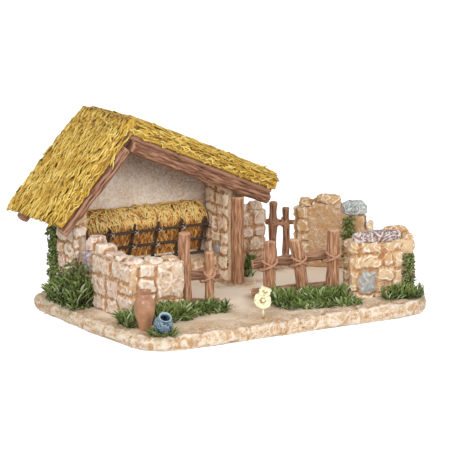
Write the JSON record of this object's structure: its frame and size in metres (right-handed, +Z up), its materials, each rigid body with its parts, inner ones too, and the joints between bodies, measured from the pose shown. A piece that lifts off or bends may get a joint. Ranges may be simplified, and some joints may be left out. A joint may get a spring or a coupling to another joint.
{
  "type": "nativity sheep shelter",
  "caption": "Thatched open byre with a hay rack, a stone-walled sheep pen with roped log fences and an open gateway, and a broken wall on a rocky base; a stage for nativity figures.",
  "frame": {"origin": "middle of the flat underside of the base", "axes": "+X to the right along the base, +Y to the back, +Z up; the open front faces -Y"},
  "size_m": [0.3479, 0.2293, 0.175],
  "materials": {
    "sandy_ground": "matte, brushed with ochre and white",
    "plaster": "matte, speckled",
    "mortar": "matte ochre wash",
    "pale_stone": "matte, dry-brushed white over an ochre wash",
    "grey_stone": "matte, marbled",
    "veined_slab": "matte, white veins",
    "thatch": "matte strands with dark shadows",
    "brown_timber": "matte, long grain",
    "weathered_rail": "matte, long grain",
    "rope": "matte twisted cord",
    "dark_rods": "matte, near black",
    "silver_wire": "dull metal",
    "hay": "matte strands",
    "terracotta": "satin",
    "blue_glaze": "satin with a pale wash",
    "cream_petals": "matte",
    "grass": "matte with pale tips",
    "ivy": "matte"
  },
  "bodies": {
    "root": {"base": "sandy_ground", "back_wall": "plaster", "back_wall_stones": "pale_stone", "left_wall": "plaster", "left_wall_stones": "pale_stone", "pier": "plaster", "pier_stones": "pale_stone", "left_thatch": "thatch", "right_thatch": "thatch", "front_left_barge": "brown_timber", "front_right_barge": "brown_timber", "front_batten": "brown_timber", "rear_left_barge": "brown_timber", "rear_right_barge": "brown_timber", "ridge_pole": "brown_timber", "eave_post": "brown_timber", "low_side_wall": "mortar", "low_side_stones": "pale_stone", "low_side_coping": "pale_stone", "low_front_wall": "mortar", "low_front_stones": "pale_stone", "low_front_coping": "pale_stone", "gate_post": "brown_timber", "short_post": "brown_timber", "gate_rails": "weathered_rail", "gate_lashings": "rope", "fence_post_a": "brown_timber", "fence_post_b": "brown_timber", "fence_post_c": "brown_timber", "fence_upper_rail": "weathered_rail", "fence_lower_rail": "weathered_rail", "fence_lashings": "rope", "stub_wall": "mortar", "stub_stones": "pale_stone", "stub_coping": "pale_stone", "rear_posts": "brown_timber", "rear_rail": "weathered_rail", "rear_lashings": "rope", "tall_wall": "plaster", "tall_stones": "pale_stone", "tall_coping": "pale_stone", "grey_capstone": "grey_stone", "side_wall": "mortar", "side_stones": "pale_stone", "side_coping": "pale_stone", "right_wall": "mortar", "right_stones": "pale_stone", "right_slab": "veined_slab", "right_coping": "pale_stone", "rack_frame": "dark_rods", "rack_ties": "silver_wire", "hay": "hay", "jar": "terracotta", "pot": "blue_glaze", "flower": "cream_petals", "grass_left": "grass", "grass_front": "grass", "grass_right": "grass", "ivy_left": "ivy", "ivy_right": "ivy"}
  },
  "joints": []
}
